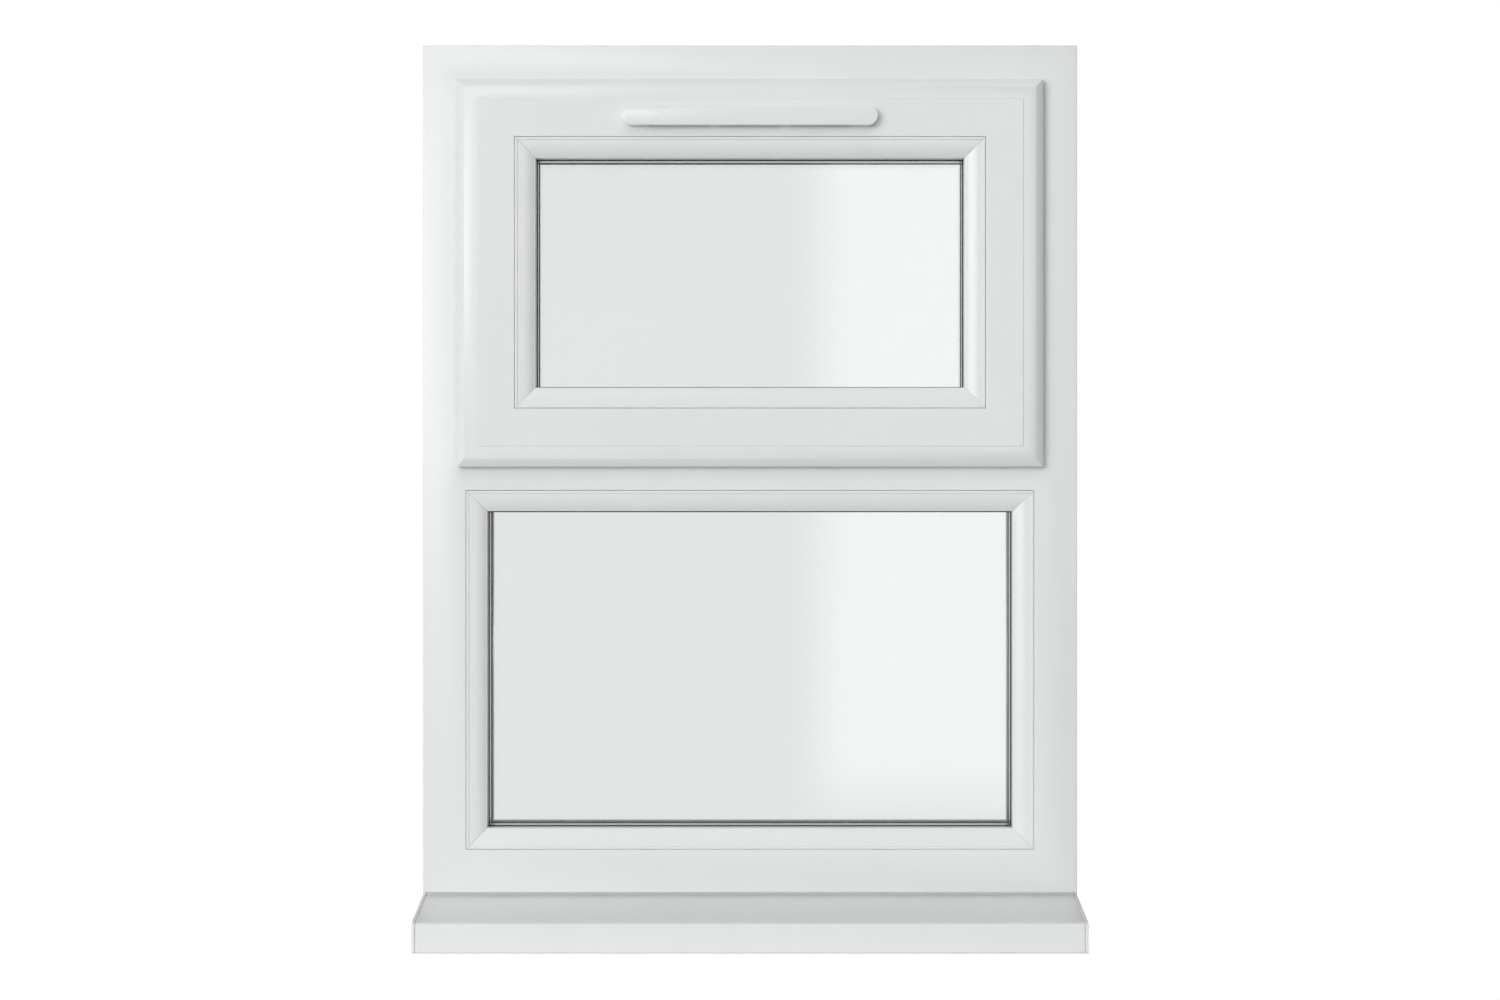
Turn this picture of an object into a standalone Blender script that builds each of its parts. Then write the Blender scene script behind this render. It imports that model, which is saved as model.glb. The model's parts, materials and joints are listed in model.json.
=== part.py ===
"""White window: a top-hung opening sash over a fixed light, on a projecting cill.

X runs along the window, +Y goes into the room and +Z is up. The origin is on the cill's underside,
in the middle of the window, in line with the frame's outside face. Sizes are in millimetres and
become metres as each piece is added.
"""
import math

import bmesh
import bpy
from mathutils import Vector

MM = 0.001
GAP = 0.3                      # clearance between pieces that touch

# Frame
HALF_WIDTH = 305.0
CILL_BED = 30.0                # height of the frame's underside above the cill's underside
FRAME_HEIGHT = 790.0
FRAME_TOP = CILL_BED + FRAME_HEIGHT
FRAME_DEPTH = 70.0
REBATE = 40.0                  # from the frame's outer edge to its rebate floor
UPSTAND = 60.0                 # from the frame's outer edge to the top of its inside upstand
UPSTAND_FACE = 52.0            # depth at which the inside upstand starts
TRANSOM_LOW = 405.0
TRANSOM_HIGH = 434.0
WALL = 3.0

# Sash
SASH_HALF = 272.5
SASH_LOW = 427.0
SASH_TOP = 787.0
SASH_FRONT = -16.0
LAP_BACK = -2.0
LAP_ARC = 28.0                 # radius of the sculpted edge
LAP = 20.0                     # width of the flange that laps over the frame
SASH_BACK = 50.0
SASH_REBATE = 54.0             # from the sash's outer edge to its glazing rebate floor
SASH_UPSTAND = 70.0

# Glazing
BEAD_WIDTH = 19.5
BEAD_DEPTH = 18.0
BEAD_ARC = 27.0                # radius of the bead's sculpted face
PANE = 4.0
UNIT_DEPTH = 28.0
GLASS_CLEARANCE = 3.5
GASKET_SPACE = 3.0
SPACER_WIDTH = 12.0

# Cill
CILL_NOSE = -80.0
CILL_HALF = 302.5
CILL_CAP = 3.0

# Friction stay, measured along the rebate and away from its floor
STAY_DEPTH = 20.0              # depth of every pivot when the sash is shut
TRACK_PIVOT_Z = 580.0
LONG_ARM = 110.0
PIVOT_SPACING = 70.0           # from the long arm's sash pivot to the short arm's
SASH_PIVOT_Z = TRACK_PIVOT_Z + LONG_ARM
SLIDER_Z = TRACK_PIVOT_Z + 2.0 * PIVOT_SPACING
SHORT_PIVOT_Z = SASH_PIVOT_Z + PIVOT_SPACING
TRACK_FLOOR = HALF_WIDTH - REBATE
TRACK_LOW = 560.0
TRACK_HIGH = 772.0
STUD = 2.5
STUD_HOLE = 3.0
ARM_NEAR = 5.1
ARM_FAR = 7.1
BAR_NEAR = 9.4
BAR_FAR = 12.2

# Lock and handle
SPINDLE_Z = 476.0
LOCK_DEPTH = 21.0
LOCK_EDGE = SASH_LOW + LAP
LOCK_HALF = 160.0
CAM_X = 100.0
CAM_TRAVEL = 20.0
SPINDLE = 3.0
SPINDLE_HOLE = 4.6
LEVER_FRONT = 86.0

# Vent
VENT_Z = 750.5
CANOPY_HALF = 118.0
CANOPY_RADIUS = 8.75
CANOPY_FRONT = -25.0
FLAP_HINGE_Z = 752.7
FLAP_HINGE_Y = 61.5

COLORS = {
    "upvc": ((0.83, 0.85, 0.84, 1.0), 0.35, 0.0),
    "upvc_cill": ((0.80, 0.82, 0.81, 1.0), 0.38, 0.0),
    "glass": ((0.80, 0.83, 0.82, 0.35), 0.04, 0.0),
    "rubber": ((0.02, 0.02, 0.02, 1.0), 0.7, 0.0),
    "alloy": ((0.62, 0.63, 0.64, 1.0), 0.35, 1.0),
    "steel": ((0.45, 0.46, 0.47, 1.0), 0.4, 1.0),
    "handle": ((0.85, 0.86, 0.85, 1.0), 0.3, 0.0),
}

# Each moving body's parent and the point its joint turns about
PIVOTS = {
    "sash": (None, (0.0, STAY_DEPTH, SASH_PIVOT_Z)),
    "handle": ("sash", (0.0, 60.0, SPINDLE_Z)),
    "button": ("handle", (0.0, LEVER_FRONT, SPINDLE_Z)),
    "drive_bar": ("sash", (0.0, LOCK_DEPTH, LOCK_EDGE)),
    "vent_flap": ("sash", (0.0, FLAP_HINGE_Y, FLAP_HINGE_Z)),
}
for side_name, side_sign in (("left", -1.0), ("right", 1.0)):
    stay_x = side_sign * (TRACK_FLOOR - ARM_NEAR)
    PIVOTS["long_arm_" + side_name] = (None, (stay_x, STAY_DEPTH, TRACK_PIVOT_Z))
    PIVOTS["short_arm_" + side_name] = ("sash", (stay_x, STAY_DEPTH, SHORT_PIVOT_Z))
    PIVOTS["slider_" + side_name] = ("short_arm_" + side_name, (stay_x, STAY_DEPTH, SLIDER_Z))

for old in list(bpy.data.objects):
    bpy.data.objects.remove(old)
parts = bpy.data.collections.new("top_hung_window")
cutters = bpy.data.collections.new("cutters")
for group in (parts, cutters):
    bpy.context.scene.collection.children.link(group)

empties = {}
for body, (parent, point) in PIVOTS.items():
    empty = bpy.data.objects.new(body + "_pivot", None)
    parts.objects.link(empty)
    start = Vector(PIVOTS[parent][1]) if parent else Vector((0.0, 0.0, 0.0))
    empty.parent = empties.get(parent)
    empty.location = (Vector(point) - start) * MM
    empties[body] = empty


def material(name, finish):
    """A Principled material of the piece's own."""
    color, roughness, metallic = COLORS[finish]
    made = bpy.data.materials.new(name)
    made.use_nodes = True
    shader = made.node_tree.nodes["Principled BSDF"]
    shader.inputs["Base Color"].default_value = color
    shader.inputs["Alpha"].default_value = color[3]
    shader.inputs["Roughness"].default_value = roughness
    shader.inputs["Metallic"].default_value = metallic
    made.diffuse_color = color
    return made


def mesh_from(bm):
    """Turn a bmesh into a mesh."""
    mesh = bpy.data.meshes.new("shape")
    bm.to_mesh(mesh)
    bm.free()
    return mesh


def outline(outer, holes, half_length):
    """A flat outline with holes, extruded both ways along its third axis."""
    curve = bpy.data.curves.new("outline", "CURVE")
    curve.dimensions = "2D"
    curve.fill_mode = "BOTH"
    curve.extrude = half_length
    for points in [outer, *holes]:
        spline = curve.splines.new("POLY")
        spline.points.add(len(points) - 1)
        for point, (u, v) in zip(spline.points, points):
            point.co = (u, v, 0.0, 1.0)
        spline.use_cyclic_u = True
    drawn = bpy.data.objects.new("outline", curve)
    parts.objects.link(drawn)
    graph = bpy.context.evaluated_depsgraph_get()
    mesh = bpy.data.meshes.new_from_object(drawn.evaluated_get(graph))
    bpy.data.objects.remove(drawn)
    bpy.data.curves.remove(curve)
    bm = bmesh.new()
    bm.from_mesh(mesh)
    bmesh.ops.remove_doubles(bm, verts=bm.verts, dist=0.01)
    bm.to_mesh(mesh)
    bm.free()
    return mesh


def box(low, high):
    """A box between two corners."""
    bm = bmesh.new()
    bmesh.ops.create_cube(bm, size=1.0)
    middle = (Vector(low) + Vector(high)) / 2.0
    size = Vector(high) - Vector(low)
    bmesh.ops.scale(bm, vec=size, verts=bm.verts)
    bmesh.ops.translate(bm, vec=middle, verts=bm.verts)
    return mesh_from(bm)


def cylinder(radius, start, end, axis, segments=24):
    """A cylinder from one point to another along the X, Y or Z axis."""
    length = end[axis] - start[axis]
    bm = bmesh.new()
    bmesh.ops.create_cone(bm, cap_ends=True, segments=segments, radius1=radius,
                          radius2=radius, depth=abs(length))
    for vertex in bm.verts:
        u, v, w = vertex.co
        turned = ((w, u, v), (u, w, v), (u, v, w))[axis]
        vertex.co = Vector(turned) + (Vector(start) + Vector(end)) / 2.0
    bm.normal_update()
    bmesh.ops.recalc_face_normals(bm, faces=bm.faces)
    return mesh_from(bm)


def rectangle(low_u, low_v, high_u, high_v):
    """The corners of a rectangle."""
    return [(low_u, low_v), (high_u, low_v), (high_u, high_v), (low_u, high_v)]


def stadium(half_length, radius, steps=10):
    """A slot outline with round ends, centred on zero."""
    points = []
    for end in (1.0, -1.0):
        for step in range(steps + 1):
            angle = math.pi * (step / steps - 0.5)
            points.append((end * (half_length - radius + radius * math.cos(angle)),
                           end * radius * math.sin(angle)))
    return points


def move_verts(mesh, place):
    """Send every vertex through a placing function and face the surface outwards."""
    bm = bmesh.new()
    bm.from_mesh(mesh)
    for vertex in bm.verts:
        vertex.co = place(*vertex.co)
    bm.normal_update()
    bmesh.ops.recalc_face_normals(bm, faces=bm.faces)
    bm.to_mesh(mesh)
    bm.free()
    return mesh


def add_part(name, mesh, finish, body=None):
    """Add a mesh drawn in millimetres as a named piece of one body."""
    if body:
        origin = Vector(PIVOTS[body][1])
    else:
        corners = [vertex.co for vertex in mesh.vertices]
        low = Vector([min(corner[i] for corner in corners) for i in range(3)])
        high = Vector([max(corner[i] for corner in corners) for i in range(3)])
        origin = (low + high) / 2.0
    for vertex in mesh.vertices:
        vertex.co = (vertex.co - origin) * MM
    mesh.name = name
    part = bpy.data.objects.new(name, mesh)
    parts.objects.link(part)
    if body:
        part.parent = empties[body]
    else:
        part.location = origin * MM
    mesh.materials.append(material(name, finish))
    return part


def combine(part, mesh, operation):
    """Cut a mesh drawn in millimetres from a piece, or join it on."""
    tool = bpy.data.objects.new(part.name + "_tool", mesh)
    for vertex in mesh.vertices:
        vertex.co = vertex.co * MM
    cutters.objects.link(tool)
    tool.hide_render = True
    tool.display_type = "WIRE"
    modifier = part.modifiers.new(operation.lower(), "BOOLEAN")
    modifier.operation = operation
    modifier.solver = "EXACT"
    modifier.object = tool


def bevel(part, width, segments=2, angle=40.0):
    """Round a piece's sharp edges."""
    modifier = part.modifiers.new("round_edges", "BEVEL")
    modifier.width = width * MM
    modifier.segments = segments
    modifier.limit_method = "ANGLE"
    modifier.angle_limit = math.radians(angle)


def frame_bar(name, side, rect, section, chambers, finish, body=None):
    """One mitred bar of a four-sided frame, its section drawn as inset and depth."""
    left, low, right, high = rect
    along = (right - left) / 2.0 if side in ("top", "bottom") else (high - low) / 2.0
    middle_x = (left + right) / 2.0
    middle_z = (low + high) / 2.0
    mesh = outline(section, chambers, along)

    def place(inset, depth, end):
        run = math.copysign(along - inset - GAP / 2.0, end)
        if side == "bottom":
            return (middle_x + run, depth, low + inset)
        if side == "top":
            return (middle_x + run, depth, high - inset)
        if side == "left":
            return (left + inset, depth, middle_z + run)
        return (right - inset, depth, middle_z + run)

    return add_part(name, move_verts(mesh, place), finish, body)


def ring(name, outer, inner, near, far, finish, body=None):
    """A flat ring between two rectangles, from one depth to another."""
    mesh = outline(rectangle(*outer), [rectangle(*inner)], (far - near) / 2.0)
    middle = (near + far) / 2.0
    return add_part(name, move_verts(mesh, lambda x, z, d: (x, middle + d, z)), finish, body)


def grow(rect, amount):
    """A rectangle made larger on every side."""
    left, low, right, high = rect
    return (left - amount, low - amount, right + amount, high + amount)


def fall_away(start, end, radius, steps):
    """Points of a shallow arc that is level at its start and falls away towards its end."""
    points = []
    for step in range(steps + 1):
        along = (end - start) * step / steps
        points.append((start + along, radius - math.sqrt(radius * radius - along * along)))
    return points


def bead_section(face):
    """The sculpted glazing bead: its outer face falls away towards the glass."""
    curve = [(0.4, 0.0), (3.0, 0.3)]
    curve += [(inset, 0.9 + fall) for inset, fall in fall_away(3.4, 18.4, BEAD_ARC, 4)]
    curve += [(BEAD_WIDTH, 7.0), (BEAD_WIDTH, BEAD_DEPTH), (0.4, BEAD_DEPTH)]
    return [(inset, face + depth) for inset, depth in curve]


def glazing(prefix, rebate_rect, bead_face, body):
    """Beads, gaskets and a two-pane sealed unit in one rebate."""
    section = bead_section(bead_face)
    for side in ("top", "bottom", "left", "right"):
        frame_bar(f"{prefix}_bead_{side}", side, rebate_rect, section, [], "upvc", body)
    sight = grow(rebate_rect, -BEAD_WIDTH)
    unit = grow(rebate_rect, -GLASS_CLEARANCE)
    front = bead_face + BEAD_DEPTH + GASKET_SPACE
    back = front + UNIT_DEPTH
    hole = grow(sight, -1.0)
    wide = grow(sight, 9.0)
    ring(f"{prefix}_outer_gasket", wide, hole, front - GASKET_SPACE + GAP, front - GAP, "rubber", body)
    ring(f"{prefix}_inner_gasket", wide, hole, back + GAP, back + GASKET_SPACE - GAP, "rubber", body)
    left, low, right, high = unit
    panes = {"outer": (front, front + PANE), "inner": (back - PANE, back)}
    for which, (near, far) in panes.items():
        add_part(f"{prefix}_{which}_pane", box((left, near, low), (right, far, high)), "glass", body)
    edge = grow(unit, -4.0)
    ring(f"{prefix}_spacer_bar", edge, grow(edge, -SPACER_WIDTH), front + PANE + GAP,
         back - PANE - GAP, "alloy", body)


def tube_bar(name, middle, half_size, half_length, body=None):
    """An upright square metal tube that stiffens a plastic bar."""
    outer = rectangle(-half_size[0], -half_size[1], half_size[0], half_size[1])
    inner = rectangle(1.5 - half_size[0], 1.5 - half_size[1], half_size[0] - 1.5, half_size[1] - 1.5)
    mesh = outline(outer, [inner], half_length)
    x, y, z = middle

    return add_part(name, move_verts(mesh, lambda u, v, w: (x + u, y + v, z + w)), "steel", body)


# Outer frame
frame_rect = (-HALF_WIDTH, CILL_BED, HALF_WIDTH, FRAME_TOP)
frame_section = [(0, 0), (REBATE, 0), (REBATE, UPSTAND_FACE), (UPSTAND, UPSTAND_FACE),
                 (UPSTAND, FRAME_DEPTH), (0, FRAME_DEPTH)]
frame_chambers = [rectangle(WALL, WALL, REBATE - WALL, 14.0),
                  rectangle(WALL, 16.5, REBATE - WALL, 49.5),
                  rectangle(WALL, UPSTAND_FACE + WALL, UPSTAND - WALL, FRAME_DEPTH - WALL)]
for bar_name, bar_side in (("frame_head", "top"), ("frame_bottom_rail", "bottom"),
                           ("frame_jamb_left", "left"), ("frame_jamb_right", "right")):
    frame_bar(bar_name, bar_side, frame_rect, frame_section, frame_chambers, "upvc")

# Transom between the opening sash and the fixed light
shoulder = UPSTAND - REBATE
transom_section = [(TRANSOM_LOW, 0), (TRANSOM_HIGH, 0), (TRANSOM_HIGH, UPSTAND_FACE),
                   (TRANSOM_HIGH + shoulder, UPSTAND_FACE), (TRANSOM_HIGH + shoulder, FRAME_DEPTH),
                   (TRANSOM_LOW - shoulder, FRAME_DEPTH), (TRANSOM_LOW - shoulder, UPSTAND_FACE),
                   (TRANSOM_LOW, UPSTAND_FACE)]
transom_chambers = [rectangle(TRANSOM_LOW + WALL, WALL, TRANSOM_HIGH - WALL, 14.0),
                    rectangle(TRANSOM_LOW + WALL, 16.5, TRANSOM_HIGH - WALL, 49.5),
                    rectangle(TRANSOM_LOW - shoulder + WALL, UPSTAND_FACE + WALL,
                              TRANSOM_HIGH + shoulder - WALL, FRAME_DEPTH - WALL)]
transom_half = TRACK_FLOOR - GAP
transom_mesh = outline(transom_section, transom_chambers, transom_half)
transom = add_part("transom", move_verts(transom_mesh, lambda z, y, x: (x, y, z)), "upvc")
flange_half = HALF_WIDTH - UPSTAND - GAP
for sign in (-1.0, 1.0):
    near, far = sorted((sign * flange_half, sign * (transom_half + 5.0)))
    combine(transom, box((near, UPSTAND_FACE - GAP, TRANSOM_LOW - 30.0),
                         (far, FRAME_DEPTH + 5.0, TRANSOM_HIGH + 30.0)), "DIFFERENCE")

# Metal stiffeners inside the bars
for side_name, side_sign in (("left", -1.0), ("right", 1.0)):
    tube_bar(f"jamb_reinforcement_{side_name}",
             (side_sign * (HALF_WIDTH - REBATE / 2.0), 33.0, (CILL_BED + FRAME_TOP) / 2.0),
             (14.5, 14.5), FRAME_HEIGHT / 2.0 - 45.0)
    tube_bar(f"sash_reinforcement_{side_name}",
             (side_sign * (SASH_HALF - 37.0), 18.0, (SASH_LOW + SASH_TOP) / 2.0),
             (11.5, 12.5), (SASH_TOP - SASH_LOW) / 2.0 - 55.0, "sash")

# Fixed light
glazing("fixed", (-TRACK_FLOOR, CILL_BED + REBATE, TRACK_FLOOR, TRANSOM_LOW), 0.0, None)

# Seal on the frame's upstand that the sash shuts against
opening = (-TRACK_FLOOR, TRANSOM_HIGH, TRACK_FLOOR, FRAME_TOP - REBATE)
ring("frame_weather_seal", grow(opening, -14.0), grow(opening, -18.0), SASH_BACK + GAP,
     UPSTAND_FACE - GAP, "rubber")

# Cill with a dripping nose, hollow, and a cap on each end
cill_section = [(FRAME_DEPTH, 0.0), (FRAME_DEPTH, CILL_BED - GAP), (8.0, CILL_BED - GAP), (8.0, 27.0),
                (-75.5, 14.5), (-78.5, 13.2), (CILL_NOSE, 11.0), (CILL_NOSE, -12.2),
                (-78.8, -13.7), (-73.2, -13.7), (-72.0, -12.2), (-72.0, -1.5), (-70.0, 0.0)]
cill_chambers = [rectangle(40.0, WALL, FRAME_DEPTH - WALL, CILL_BED - WALL - GAP),
                 rectangle(11.0, WALL, 37.5, CILL_BED - WALL - GAP),
                 [(8.0, WALL), (8.0, 23.6), (-33.0, 17.6), (-33.0, WALL)],
                 [(-35.5, WALL), (-35.5, 17.2), (-73.5, 11.5), (-76.5, 9.5), (-76.5, WALL)]]


def cill_slice(name, section, chambers, start, end, finish):
    """A stretch of the cill's section between two places along the window."""
    mesh = outline(section, chambers, (end - start) / 2.0)
    middle = (start + end) / 2.0
    return add_part(name, move_verts(mesh, lambda y, z, x: (middle + x, y, z)), finish)


cill_slice("cill", cill_section, cill_chambers, -CILL_HALF, CILL_HALF, "upvc_cill")
cap_start = CILL_HALF + GAP
cill_slice("cill_end_cap_left", cill_section, [], -cap_start - CILL_CAP, -cap_start, "upvc_cill")
cill_slice("cill_end_cap_right", cill_section, [], cap_start, cap_start + CILL_CAP, "upvc_cill")

# Sash
sash_rect = (-SASH_HALF, SASH_LOW, SASH_HALF, SASH_TOP)
sculpt = [(0.0, LAP_BACK), (0.0, -8.1)]
sculpt += [(inset, -15.3 + fall) for inset, fall in reversed(fall_away(18.6, 1.0, LAP_ARC, 5))]
sash_section = sculpt + [(19.0, SASH_FRONT), (SASH_REBATE, SASH_FRONT), (SASH_REBATE, 36.0),
                         (SASH_UPSTAND, 36.0), (SASH_UPSTAND, SASH_BACK), (LAP, SASH_BACK),
                         (LAP, LAP_BACK)]
sash_chambers = [rectangle(22.5, -13.0, SASH_REBATE - WALL, 0.0),
                 rectangle(LAP + WALL, 3.0, SASH_REBATE - WALL, 33.0),
                 rectangle(LAP + WALL, 39.0, SASH_UPSTAND - WALL, SASH_BACK - WALL)]
sash_bars = {}
for bar_name, bar_side in (("sash_top_rail", "top"), ("sash_bottom_rail", "bottom"),
                           ("sash_stile_left", "left"), ("sash_stile_right", "right")):
    sash_bars[bar_side] = frame_bar(bar_name, bar_side, sash_rect, sash_section, sash_chambers,
                                    "upvc", "sash")
glazing("sash", grow(sash_rect, -SASH_REBATE), SASH_FRONT, "sash")
ring("sash_weather_seal", grow(sash_rect, -2.5), grow(sash_rect, -6.5), LAP_BACK + GAP, -GAP,
     "rubber", "sash")

# Ventilator: slots through the top rail, a canopy outside and a flap inside
SLOT_HALF = 30.0
for slot_middle in (-65.0, 0.0, 65.0):
    combine(sash_bars["top"], box((slot_middle - SLOT_HALF, SASH_FRONT - 2.0, VENT_Z - 3.5),
                                  (slot_middle + SLOT_HALF, SASH_BACK + 2.0, VENT_Z + 3.5)), "DIFFERENCE")


def flat_piece(name, points, holes, near, far, finish, body):
    """A flat outline in the window's plane, from one depth to another."""
    mesh = outline(points, holes, (far - near) / 2.0)
    middle = (near + far) / 2.0
    return add_part(name, move_verts(mesh, lambda x, z, d: (x, middle + d, z)), finish, body)


def raised(points, centre_x, centre_z):
    """Move an outline to its place on the window."""
    return [(x + centre_x, z + centre_z) for x, z in points]


canopy = flat_piece("vent_canopy", raised(stadium(CANOPY_HALF, CANOPY_RADIUS), 0.0, VENT_Z), [],
                    CANOPY_FRONT, SASH_FRONT - GAP, "upvc", "sash")
bevel(canopy, 1.6)
pocket = outline(raised(stadium(CANOPY_HALF - 2.5, CANOPY_RADIUS - 2.5), 0.0, VENT_Z), [], 4.0)
combine(canopy, move_verts(pocket, lambda x, z, d: (x, SASH_FRONT - 2.5 + d, z)), "DIFFERENCE")
combine(canopy, box((-100.0, SASH_FRONT - 6.0, VENT_Z - 12.0), (100.0, SASH_FRONT + 2.0, VENT_Z - 4.0)),
        "DIFFERENCE")

vent_frame = rectangle(-CANOPY_HALF, VENT_Z - 9.5, CANOPY_HALF, VENT_Z + 5.0)
vent_hole = rectangle(-110.0, VENT_Z - 6.0, 110.0, VENT_Z + 1.5)
flat_piece("vent_body", vent_frame, [vent_hole], SASH_BACK + GAP, 58.5, "upvc", "sash")
flap = add_part("vent_flap", box((-112.0, 59.0, VENT_Z - 9.0), (112.0, 60.6, FLAP_HINGE_Z - 0.4)),
                "upvc", "vent_flap")
bevel(flap, 0.5, 1)

# Lock in the bottom rail
bottom = sash_bars["bottom"]
combine(bottom, box((-LOCK_HALF - 0.5, 12.0, LOCK_EDGE - 1.0), (LOCK_HALF + 0.5, 30.0, 459.0)),
        "DIFFERENCE")
combine(bottom, box((-21.0, 12.0, 455.0), (21.0, 30.0, 484.0)), "DIFFERENCE")
combine(bottom, cylinder(SPINDLE_HOLE + 1.0, (0, 28.0, SPINDLE_Z), (0, 55.0, SPINDLE_Z), 1),
        "DIFFERENCE")
gearbox = add_part("lock_gearbox", box((-20.0, 13.0, 453.1), (20.0, 29.0, 483.6)), "steel", "sash")
combine(gearbox, cylinder(SPINDLE_HOLE, (0, 10.0, SPINDLE_Z), (0, 32.0, SPINDLE_Z), 1), "DIFFERENCE")

plate_mesh = outline(raised(stadium(LOCK_HALF, 8.6), 0.0, 0.0),
                     [raised(stadium(CAM_TRAVEL / 2.0 + 4.5, 4.0), x + CAM_TRAVEL / 2.0, 0.0)
                      for x in (-CAM_X, CAM_X)], 1.2)
add_part("lock_faceplate", move_verts(plate_mesh, lambda x, y, d: (x, LOCK_DEPTH + y, LOCK_EDGE + 1.4 + d)),
         "steel", "sash")
add_part("lock_drive_bar", box((-130.0, 14.0, LOCK_EDGE + 2.9), (130.0, 28.0, LOCK_EDGE + 5.8)),
         "steel", "drive_bar")
for cam_name, cam_x in (("lock_cam_left", -CAM_X), ("lock_cam_right", CAM_X)):
    cam = add_part(cam_name, cylinder(3.0, (cam_x, LOCK_DEPTH, LOCK_EDGE - 6.0),
                                      (cam_x, LOCK_DEPTH, LOCK_EDGE + 2.6), 2), "steel", "drive_bar")
    combine(cam, cylinder(5.0, (cam_x, LOCK_DEPTH, LOCK_EDGE - 9.0),
                          (cam_x, LOCK_DEPTH, LOCK_EDGE - 5.5), 2), "UNION")

keep_section = [(34.0, TRANSOM_HIGH + GAP), (34.0, 436.0), (15.5, 436.0), (15.5, 443.5), (12.0, 443.5),
                (12.0, TRANSOM_HIGH + GAP)]
for keep_name, keep_x in (("lock_keep_left", CAM_TRAVEL - CAM_X), ("lock_keep_right", CAM_TRAVEL + CAM_X)):
    keep_mesh = outline(keep_section, [], 12.0)
    add_part(keep_name, move_verts(keep_mesh, lambda y, z, x: (keep_x + 3.0 + x, y, z)), "steel")

# Handle inside
BASE_HALF = 32.0
BASE_RADIUS = 11.0
base = flat_piece("handle_base", raised(stadium(BASE_HALF, BASE_RADIUS), 0.0, SPINDLE_Z),
                  [], SASH_BACK + GAP, 60.0, "handle", "sash")
bevel(base, 1.5)
combine(base, cylinder(SPINDLE_HOLE, (0, 45.0, SPINDLE_Z), (0, 65.0, SPINDLE_Z), 1), "DIFFERENCE")
add_part("handle_spindle", box((-SPINDLE, 14.0, SPINDLE_Z - SPINDLE), (SPINDLE, 70.0, SPINDLE_Z + SPINDLE)),
         "steel", "handle")
LEVER_LENGTH = 108.0
lever = flat_piece("handle_lever", raised(stadium(LEVER_LENGTH / 2.0 + 4.5, 9.0), LEVER_LENGTH / 2.0 - 4.5,
                                          SPINDLE_Z), [], 74.0, LEVER_FRONT, "handle", "handle")
bevel(lever, 3.0, 3)
combine(lever, cylinder(9.0, (0, 60.4, SPINDLE_Z), (0, 78.0, SPINDLE_Z), 1, 32), "UNION")
combine(lever, cylinder(SPINDLE_HOLE, (0, 55.0, SPINDLE_Z), (0, 71.0, SPINDLE_Z), 1), "DIFFERENCE")
combine(lever, cylinder(4.1, (0, 80.0, SPINDLE_Z), (0, 90.0, SPINDLE_Z), 1), "DIFFERENCE")
button = add_part("handle_button", cylinder(3.7, (0, 82.8, SPINDLE_Z), (0, 88.0, SPINDLE_Z), 1),
                  "handle", "button")
bevel(button, 0.6)


# Friction stays
def stay_piece(name, points, holes, near, far, sign, finish, body):
    """A flat piece in the rebate, drawn as depth and height, layered away from the rebate floor."""
    mesh = outline(points, holes, (far - near) / 2.0)
    middle = TRACK_FLOOR - (near + far) / 2.0

    def place(depth, height, layer):
        return (sign * (middle + layer), STAY_DEPTH + depth, height)

    return add_part(name, move_verts(mesh, place), finish, body)


def stay_stud(part, radius, near, far, sign, height):
    """Join a round stud onto a stay piece."""
    combine(part, cylinder(radius, (sign * (TRACK_FLOOR - near), STAY_DEPTH, height),
                           (sign * (TRACK_FLOOR - far), STAY_DEPTH, height), 0, 20), "UNION")


def upright_slot(low, high, radius):
    """The outline of an arm between two pivots, with round ends."""
    half = (high - low) / 2.0 + radius
    return [(-z, x + (low + high) / 2.0) for x, z in stadium(half, radius)]


def circle(height, radius, segments=20):
    """A round hole's outline at a height on the pivot line."""
    return [(radius * math.cos(2.0 * math.pi * step / segments),
             height + radius * math.sin(2.0 * math.pi * step / segments)) for step in range(segments)]


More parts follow.
